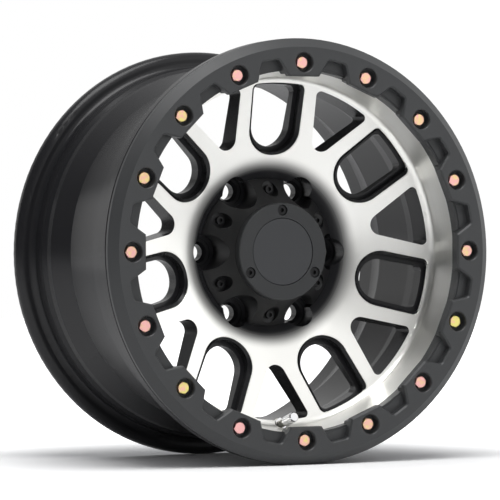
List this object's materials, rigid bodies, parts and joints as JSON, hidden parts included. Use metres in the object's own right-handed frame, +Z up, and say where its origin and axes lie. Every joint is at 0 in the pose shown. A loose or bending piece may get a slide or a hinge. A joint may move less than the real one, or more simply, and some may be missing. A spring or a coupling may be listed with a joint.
{
  "type": "off-road wheel",
  "caption": "Cast off-road wheel with alternating wide and vee windows in a dished bare-metal face, a bolted black trim ring, a bolt-on centre cap and a metal tyre valve.",
  "frame": {"origin": "centre of the hub face, where the wheel meets the axle's flange", "axes": "+Y along the wheel's axis towards the vehicle, so the street side faces -Y; +Z up with the valve at the bottom; +X to the right seen from the street"},
  "size_m": [0.4148, 0.2407, 0.4148],
  "materials": {
    "wheel_casting": "diamond-turned face under clear coat, satin black windows and barrel",
    "beadlock_ring": "satin black paint",
    "ring_bolts": "yellow passivated zinc",
    "centre_cap": "satin black",
    "cap_screws": "black oxide",
    "cap_bezel": "satin black",
    "bezel_screws": "black oxide",
    "cap_disc": "satin dark grey",
    "valve_stem": "nickel plated",
    "valve_grommet": "matte",
    "valve_washer": "zinc plated",
    "valve_nut": "chrome plated",
    "valve_core": "bare brass",
    "valve_pin": "bare brass",
    "valve_cap": "chrome plated"
  },
  "bodies": {
    "wheel": {"wheel_casting": "wheel_casting", "beadlock_ring": "beadlock_ring", "ring_bolts": "ring_bolts", "centre_cap": "centre_cap", "cap_screws": "cap_screws", "cap_bezel": "cap_bezel", "bezel_screws": "bezel_screws", "cap_disc": "cap_disc", "valve_stem": "valve_stem", "valve_grommet": "valve_grommet", "valve_washer": "valve_washer", "valve_nut": "valve_nut", "valve_core": "valve_core"},
    "valve_cap": {"valve_cap": "valve_cap"},
    "valve_pin": {"valve_pin": "valve_pin"}
  },
  "joints": [
    {"name": "valve_cap_off", "type": "slide", "parent": "wheel", "child": "valve_cap", "axis": [0, -0.9634, 0.2681], "range_m": [0, 0.014]},
    {"name": "valve_pin_press", "type": "slide", "parent": "wheel", "child": "valve_pin", "axis": [0, 0.9634, -0.2681], "range_m": [0, 0.0012], "stiffness_N_per_m": 60, "springref_m": -0.01}
  ]
}
